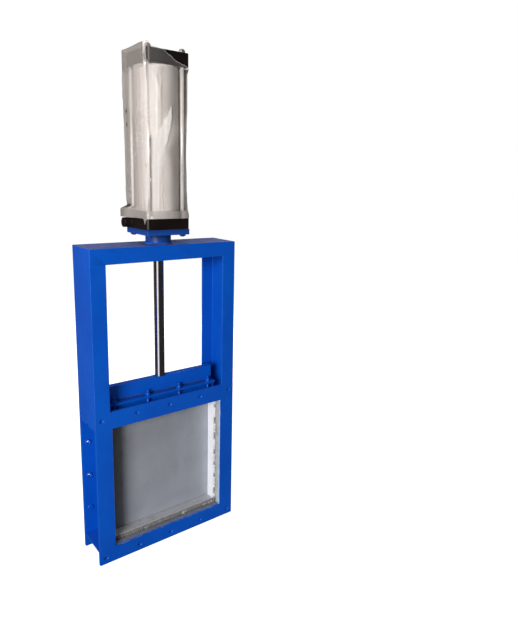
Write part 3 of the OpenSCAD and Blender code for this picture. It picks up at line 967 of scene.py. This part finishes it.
# Painted light and shade on the hem: in front by its place from left to right, elsewhere by heading.
HEM_SHADE_FRONT = [
    (-0.084, 0.58), (-0.077, 0.44), (-0.071, 0.48), (-0.063, 0.62), (-0.030, 0.52), (0.008, 0.38),
    (0.030, 0.26), (0.050, 0.14), (0.058, 0.36), (0.064, 0.40), (0.074, 0.25), (0.09, 0.30),
]
HEM_SHADE_ROUND = [
    (45, 0.4), (120, 0.26), (132, 0.28), (140, 0.21), (160, 0.27), (185, 0.25), (200, 0.29), (222, 0.30),
    (225, 0.42), (315, 0.3), (405, 0.4),
]
# Painted glints and spots of painted shade: heading, height, and how far each reaches round and upward.
PAINTED_GLINTS = [(231.3, 1.3665, 2.4, 0.007), (224.6, 1.909, 2.2, 0.006), (223.0, 1.980, 3.0, 0.006)]
SHADE_SPOTS = [(146, 1.757, 4, 0.010), (146, 1.709, 4, 0.008), (144, 1.405, 17, 0.0095), (221, 1.560, 2.0, 0.006)]


def step(value, low, high):
    """A soft step from 0 to 1."""
    t = min(1.0, max(0.0, (value - low) / (high - low)))
    return t * t * (3 - 2 * t)


def between(value, keys):
    """Reads a table of (place, value) pairs with a soft step from pair to pair."""
    if value <= keys[0][0]:
        return keys[0][1]
    for (a, low), (b, high) in zip(keys, keys[1:]):
        if value <= b:
            return low + (high - low) * step(value, a, b)
    return keys[-1][1]


def fade(value, low, high):
    """A soft step from 1 to 0."""
    return 1 - step(value, low, high)


def band(value, a, b, c, d):
    """1 between b and c, falling softly to 0 at a and d."""
    return step(value, a, b) * fade(value, c, d)


def near(value, middle, reach):
    """1 at the middle, falling softly to 0 at its reach."""
    return fade(abs(value - middle), 0.35 * reach, reach)


def flap_at(degrees, x, z):
    """1 on the flap folded over the film's front, 0 beside it."""
    if not 225 < degrees < 315:
        return 0.0
    left, right = between(z, FLAP_LEFT), between(z, FLAP_RIGHT)
    soft = 0.003 + 0.022 * fade(z, 1.57, 1.65)
    return band(x, left - 0.003, left + 0.006, right - soft, right + soft) * band(z, 1.50, 1.60, 1.772, 1.784)


def film_tone_and_painted_light(degrees, x, y, z, high):
    """How milky (0 to 1), how light with painted light and shade, and how warm the film is at a place."""
    turn = (degrees - 45) % 360 + 45
    wobble = noise.noise(Vector((x * 3, y * 3, z * 26)))
    tone = [0.06, 0.95, 0.5]

    def lay(haze, light, warm, share):
        tone[:] = [now + (wanted - now) * share for now, wanted in zip(tone, (haze, light, warm))]

    # Behind, where it is doubled, and down the left side, with painted light that grows toward the front.
    lay(0.30, 0.62, 0.4, fade(turn, 100, 122) + step(turn, 350, 372))
    # Painted shade darkens the front toward the right.
    front = band(turn, 224, 227, 312, 316)
    shade_from = between(z, PAINTED_SHADE_FROM)
    shade_to = shade_from + 0.034 + 0.041 * step(z, 1.60, 1.72)
    lay(between(z, PAINTED_SHADE_SHARE), 0.12, 0.6, front * step(x, shade_from, shade_to))
    left = band(turn, 122, 140, 222, 227)
    lay(0.60, between(turn, LEFT_PAINTED_LIGHT) * between(z, LEFT_PAINTED_LIGHT_UPWARD), 0.75, left)
    # The loose edges behind the left rods and before the right rods are seen edge on, in many layers.
    # Both bands are darkened with painted shade.
    lay(0.90, 0.34 + 0.10 * wobble, 0.1, band(turn, 118, 128, 139, 149))
    lay(0.96, between(z, RIGHT_SHADED_LAYERS) + 0.05 * wobble, 0.7, band(turn, 311.5, 315, 345, 372))
    # Beside the front left rod lie a painted highlight on the front and a line of painted shade.
    above = step(z, 1.655, 1.675)
    pale = step(turn, 231.4 - 3.2 * above, 232.8 - 3.2 * above) * fade(x, -0.048, -0.006) * front
    lay(0.78 + 0.08 * above, 1.0, 0.5, pale * fade(z, 1.905, 1.914))
    # The line of painted shade is dark below, faint above, and broken in places.
    seam = near(turn, 229.7, 2.1) * band(z, 1.380, 1.390, 1.652, 1.668)
    broken = (0.60 + 0.40 * step(wobble, -0.5, -0.1)) * (1 - near(z, 1.505, 0.007))
    lay(0.80, 0.20, 0.5, seam * broken)
    upper = near(turn, 227.3, 1.7) * band(z, 1.66, 1.70, 1.925, 1.935)
    lay(0.40 + 0.30 * step(z, 1.885, 1.905), 0.34, 0.5, upper)
    # Beside it the left side's film gets a painted highlight, and so does the line of the rod at the right.
    highlight_line = near(turn, 222.0, 4.2) * band(z, 1.395, 1.41, 1.900, 1.906)
    lay(0.74, between(z, LEFT_HIGHLIGHT), 0.4, 0.9 * highlight_line)
    above = step(z, 1.70, 1.78)
    highlight_line = near(turn, 314.4 - 0.7 * above, 1.7 + 0.6 * above) * band(z, 1.455, 1.47, 1.890, 1.906)
    lay(0.92 - 0.50 * step(z, 1.70, 1.76), between(z, RIGHT_HIGHLIGHT), 0.5, highlight_line * (0.85 + 0.15 * wobble))
    # Painted light just left of that rod lifts the shade there to a mid tone.
    lay(0.30, 0.44, 0.5, near(turn, 310.6, 2.6) * fade(z, 1.70, 1.76))
    # The painted highlight of the rear left rod, where the film is drawn against it.
    drawn = near(0.906 * x - 0.423 * y, -0.0945, 0.0062) * band(turn, 138, 146, 200, 210)
    lay(0.86, 0.60 + 0.18 * step(z, 1.75, 1.60), 0.7, drawn * band(z, 1.398, 1.408, 1.897, 1.904))
    # Over the caps the film lies flat and clear.
    hood = step(z, 1.9005, 1.904)
    sheer = step(z, 1.911, 1.916) * (1 - left) * fade(turn, 315, 330)
    lay(0.085 - 0.024 * step(x, -0.06, 0.0) + 0.02 * wobble, 1.0, 0.5, sheer)
    lay(0.42, 0.54, 0.6, hood * left)
    # Painted shade lies on the loose film at the rear left corner and along the top of the left side.
    loose = max(hood * band(turn, 112, 120, 146, 153), step(z, 1.962, 1.967) * left)
    lay(0.95, 0.23 + 0.06 * wobble, 0.3, loose)
    # Down the front left corner run painted shade and a painted highlight.
    lay(0.80, 0.04, 0.5, near(turn, 227.3, 4.2) * band(z, 1.912, 1.925, 1.966, 1.972))
    bright = near(turn, 222.6 - 1.2 * near(z, 1.943, 0.018), 2.4) * hood
    lay(0.85, 0.74 - 0.30 * near(z, 1.937, 0.010) + 0.18 * wobble, 0.5, bright)
    lay(0.85, 0.22, 0.5, near(turn, 223.1, 1.3) * near(z, 1.931, 0.016))
    # The hem is heavier, where the film is folded back on itself, with painted shade round the front.
    shade = between(x, HEM_SHADE_FRONT) if 225 < turn < 315 else between(turn, HEM_SHADE_ROUND)
    lay(0.95, shade, 0.5, fade(z, 1.3900, 1.3925))
    # The doubled flap is milky, and its white is partly painted highlight.
    lay(0.86, 1.0, 0.25, flap_at(turn, x, z))
    # Along the cut edge: a painted highlight in front, and painted shade elsewhere.
    if z > 1.90:
        cut = fade(high - z, 0.0006, 0.0034)
        facing = band(turn, 236, 270, 316, 330)
        lay(0.40, 1.0, 0.5, cut * facing)
        lay(0.95, 0.10, 0.5, cut * (1 - facing))
    for spots, light, warm in ((PAINTED_GLINTS, 1.0, 0.4), (SHADE_SPOTS, 0.0, 0.5)):
        for heading, height, reach, tall in spots:
            lay(0.97, light, warm, near(turn, heading, reach) * near(z, height, tall))
    return tone


def film_outlines(gap, rod):
    """The film's distance from the axis at each half degree: tight round the rods, and square on the caps."""
    pitch = RODS_HIGH.x - rod
    chamfer = CAP_HALF * math.sqrt(2) - 0.006 / math.sqrt(2)
    corners = [(sx * pitch, sy * pitch) for sx in (-1, 1) for sy in (-1, 1)]
    tight, square = [], []
    for k in range(720):
        turn = math.radians(k / 2)
        reaches = []
        for a in range(-76, 77, 2):
            normal = turn + math.radians(a)
            rods = max(x * math.cos(normal) + y * math.sin(normal) for x, y in corners) + rod
            reaches.append(max(BARREL_HIGH.x, rods) / math.cos(normal - turn))
        tight.append(min(reaches) + gap * 0.6)
        reaches = []
        for a in range(0, 361, 45):
            facing = math.cos(turn - math.radians(a))
            if facing > 0.2:
                reaches.append((chamfer if a % 90 else CAP_HALF) / facing)
        square.append(min(reaches) + gap)
    return tight, square


class VALVE_OT_film(bpy.types.Operator):
    """The clear film round the cylinder: taut from rod to rod, flared over the caps and creased"""

    bl_idname = "valve.film"
    bl_label = "Film"

    def execute(self, context):
        tight, square = film_outlines(setting("film", "stand"), setting("film", "rod"))
        foot, crease = setting("film", "lower"), setting("film", "crease")
        around, upward = 192, 104
        bm = bmesh.new()
        bmesh.ops.create_grid(bm, x_segments=around, y_segments=upward, size=0.5)
        layers = [bm.verts.layers.float.new(name) for name in FILM_LAYERS]
        for v in bm.verts:
            degrees, t = 45 + 360 * (v.co.x + 0.5), v.co.y + 0.5
            c, s = math.cos(math.radians(degrees)), math.sin(math.radians(degrees))
            # The hem hangs down in a point beside the front left corner.
            point = max(0.0, 1 - abs(degrees - 218) / 4.6)
            low = foot + 0.0012 * noise.noise(Vector((c * 3, s * 3, 7))) - 0.027 * point ** 1.15
            high = between(degrees, UPPER_EDGE) + 0.0008 * noise.noise(Vector((c * 9, s * 9, 3)))
            if t < HEM_SHARE:
                z = low + (HEM_END - low) * t / HEM_SHARE
            elif t < HOOD_SHARE:
                z = HEM_END + (HOOD_START - HEM_END) * (t - HEM_SHARE) / (HOOD_SHARE - HEM_SHARE)
            else:
                z = HOOD_START + (high - HOOD_START) * (t - HOOD_SHARE) / (1 - HOOD_SHARE)
            weight = 0.0
            for corner, stands in STANDS.items():
                weight += between(z, stands) * max(0.0, 1 - abs((degrees - corner + 180) % 360 - 180) / 90)
            if z < BARREL_FOOT + 0.003 or z > BARREL_TOP - 0.002:
                weight = max(weight, 1.0)
            k = int(round(degrees * 2)) % 720
            radius = tight[k] + (square[k] - tight[k]) * weight
            # The creases are long, with fine ones in patches, and calm down over the caps.
            free = band(z, BARREL_FOOT + 0.003, BARREL_FOOT + 0.05, BARREL_TOP - 0.05, BARREL_TOP - 0.002)
            long = max(0.0, 1 - abs(noise.noise(Vector((c * 2.6, s * 2.6, z * 2.2)))) * 5.0)
            fine = max(0.0, 1 - abs(noise.noise(Vector((c * 6.5 + 4, s * 6.5, z * 15 + 2.5 * c)))) * 4.5)
            fine *= step(noise.noise(Vector((c * 2 + 9, s * 2, z * 5))), 0.0, 0.4)
            out = crease * (0.05 + 0.95 * free) * (0.55 * long + 0.75 * fine)
            out *= 1 - 0.7 * flap_at(degrees, (radius + out) * c, z)
            x, y = (radius + out) * c, (radius + out) * s
            for layer, value in zip(layers, film_tone_and_painted_light(degrees, x, y, z, high)):
                v[layer] = value
            y -= 0.0012 * flap_at(degrees, x, z) * free * step(z, 1.61, 1.67)
            # At its lower left the film passes over the plug in the bottom cap.
            plug = band(degrees, 108, 130, 148, 200) * fade(z, 1.392, 1.408)
            v.co = (x - 0.0265 * plug, y + 0.004 * plug, z)
        bmesh.ops.remove_doubles(bm, verts=bm.verts, dist=0.000001)
        bmesh.ops.recalc_face_normals(bm, faces=bm.faces)
        film = piece_from(bm, "cylinder_film", "film", stands_for=["film_wrap"])
        smooth = film.modifiers.new("smooth film", "SUBSURF")
        smooth.levels = smooth.render_levels = 1
        return {"FINISHED"}


# ---- The stage ----


def mirrored_room(nodes, toward):
    """What shiny parts mirror, by heading: a bright side, a dim one facing it, a brown wall, dark between."""
    flat = nodes.vector("NORMALIZE", nodes.vector("MULTIPLY", toward, (1, 1, 0)))
    side = nodes.vector("DOT_PRODUCT", flat, (-0.906, -0.423, 0), "Value")
    rear = nodes.vector("DOT_PRODUCT", flat, (-0.5, 0.866, 0), "Value")
    dim = nodes.blend(nodes.ramp(rear, 0.45, 0.80), (0.035, 0.032, 0.030), (0.115, 0.072, 0.045))
    colour = nodes.blend(nodes.ramp(side, 0.84, 0.96), dim, (1.5, 1.5, 1.5))
    return nodes.blend(nodes.ramp(side, -0.92, -0.99), colour, (0.30, 0.30, 0.31))


class VALVE_OT_stage(bpy.types.Operator):
    """The floor, the lamps, the sky and the camera"""

    bl_idname = "valve.stage"
    bl_label = "Stage"

    def execute(self, context):
        scene = context.scene

        def put(name, data, place, turn):
            made = bpy.data.objects.new(name, data)
            made.matrix_world = Matrix.Translation(place) @ turn.to_4x4()
            scene.collection.objects.link(made)
            return made

        bm = bmesh.new()
        bmesh.ops.create_grid(bm, x_segments=1, y_segments=1, size=60)
        mesh = bpy.data.meshes.new("floor")
        bm.to_mesh(mesh)
        bm.free()
        paper = Finish("floor_paper", Roughness=0.9, Specular_IOR_Level=0.0)
        rays = paper.add("ShaderNodeLightPath").outputs
        pale = setting("stage", "floor")
        seen = paper.blend(rays["Is Glossy Ray"], scaled(pale, 0.32), (0, 0, 0))
        seen = paper.blend(rays["Is Camera Ray"], seen, scaled(pale, 0.60))
        away = paper.vector("LENGTH", paper.where, output="Value")
        room = mirrored_room(paper, paper.where)
        mirror = paper.blend(paper.ramp(away, 0.8, 2.2), (0.035, 0.032, 0.030), room)
        glow = paper.blend(rays["Is Glossy Ray"], (0, 0, 0), mirror)
        glow = paper.blend(rays["Is Camera Ray"], glow, (0.90, 0.90, 0.90))
        paper.feed(paper.shader, {"Base Color": seen, "Emission Color": glow, "Emission Strength": 1.0})
        mesh.materials.append(paper.material)
        put("floor", mesh, (0, 0, 0), Matrix.Identity(3))

        heading, pitch, roll = setting("stage", "turn")
        right = Vector((math.cos(heading), math.sin(heading), 0))
        level = Vector((-math.sin(heading), math.cos(heading), 0))
        ahead = level * math.cos(pitch) + Vector((0, 0, math.sin(pitch)))
        up = right.cross(ahead)
        across = right * math.cos(roll) + up * math.sin(roll)
        upright = -right * math.sin(roll) + up * math.cos(roll)
        data = bpy.data.cameras.new("camera")
        data.lens, data.sensor_width, data.sensor_fit = setting("stage", "lens"), 36, "AUTO"
        data.shift_x, data.shift_y = -0.0174, -0.0439
        data.clip_end = 100
        turn = Matrix((across, upright, -ahead)).transposed()
        scene.camera = put("camera", data, setting("stage", "eye"), turn)

        for name, place, aim, size, power, mirrored in (
            ("key", (-5.04, -3.94, 2.29), (0, 0, 0.85), (2.4, 2.1), 525, True),
            ("back", (2.6, 2.8, 2.4), (0, 0, 0.9), (1.8, 1.8), 95, False),
            ("top", (-0.4, 0.2, 4.2), (0, 0, 1.0), (2.4, 2.4), 45, False),
        ):
            light = bpy.data.lights.new(name, "AREA")
            light.shape, light.energy = "RECTANGLE", power
            light.size, light.size_y = size
            turn = (Vector(aim) - Vector(place)).to_track_quat("-Z", "Y").to_matrix()
            put(name, light, place, turn).visible_glossy = mirrored

        world = bpy.data.worlds.new("sky")
        world.use_nodes = True
        scene.world = world
        sky = Nodes(world.node_tree)
        sky.tree.nodes.clear()
        rays = sky.add("ShaderNodeLightPath").outputs
        mirror = mirrored_room(sky, sky.add("ShaderNodeTexCoord").outputs["Generated"])
        shade = sky.blend(rays["Is Glossy Ray"], (0.20, 0.205, 0.215), mirror)
        shade = sky.blend(rays["Is Camera Ray"], shade, (1.0, 1.0, 1.0))
        background = sky.add("ShaderNodeBackground", {"Color": shade, "Strength": 1.0})
        sky.add("ShaderNodeOutputWorld", {0: background.outputs[0]})
        scene.view_settings.view_transform = "Standard"
        return {"FINISHED"}


OPERATORS = [
    VALVE_OT_stage, VALVE_OT_yoke, VALVE_OT_body, VALVE_OT_seats, VALVE_OT_gate, VALVE_OT_gland,
    VALVE_OT_cylinder, VALVE_OT_film,
]


class VALVE_PT_panel(bpy.types.Panel):
    """The valve's pieces, one button each"""

    bl_label = "Gate valve"
    bl_idname = "VALVE_PT_panel"
    bl_space_type = "VIEW_3D"
    bl_region_type = "UI"
    bl_category = "Gate valve"

    def draw(self, context):
        for operator in OPERATORS:
            self.layout.operator(operator.bl_idname)


def register():
    for kind in (*GROUPS.values(), *OPERATORS, VALVE_PT_panel):
        bpy.utils.register_class(kind)
    for name, group in GROUPS.items():
        setattr(bpy.types.Scene, name, bpy.props.PointerProperty(type=group))


def unregister():
    for name in GROUPS:
        delattr(bpy.types.Scene, name)
    for kind in (VALVE_PT_panel, *reversed(OPERATORS), *GROUPS.values()):
        bpy.utils.unregister_class(kind)


def main():
    register()
    for operator in OPERATORS:
        getattr(bpy.ops.valve, operator.bl_idname.split(".")[1])()
    # What no operator has dressed keeps its own mesh and gets its slot's finish.
    slots = {part["node"]: part["material_slot"] for part in frame["record"]["subparts"]}
    for name, made in frame["nodes"].items():
        made.data.materials.clear()
        made.data.materials.append(finish(slots[name]))


if __name__ == "__main__":
    main()
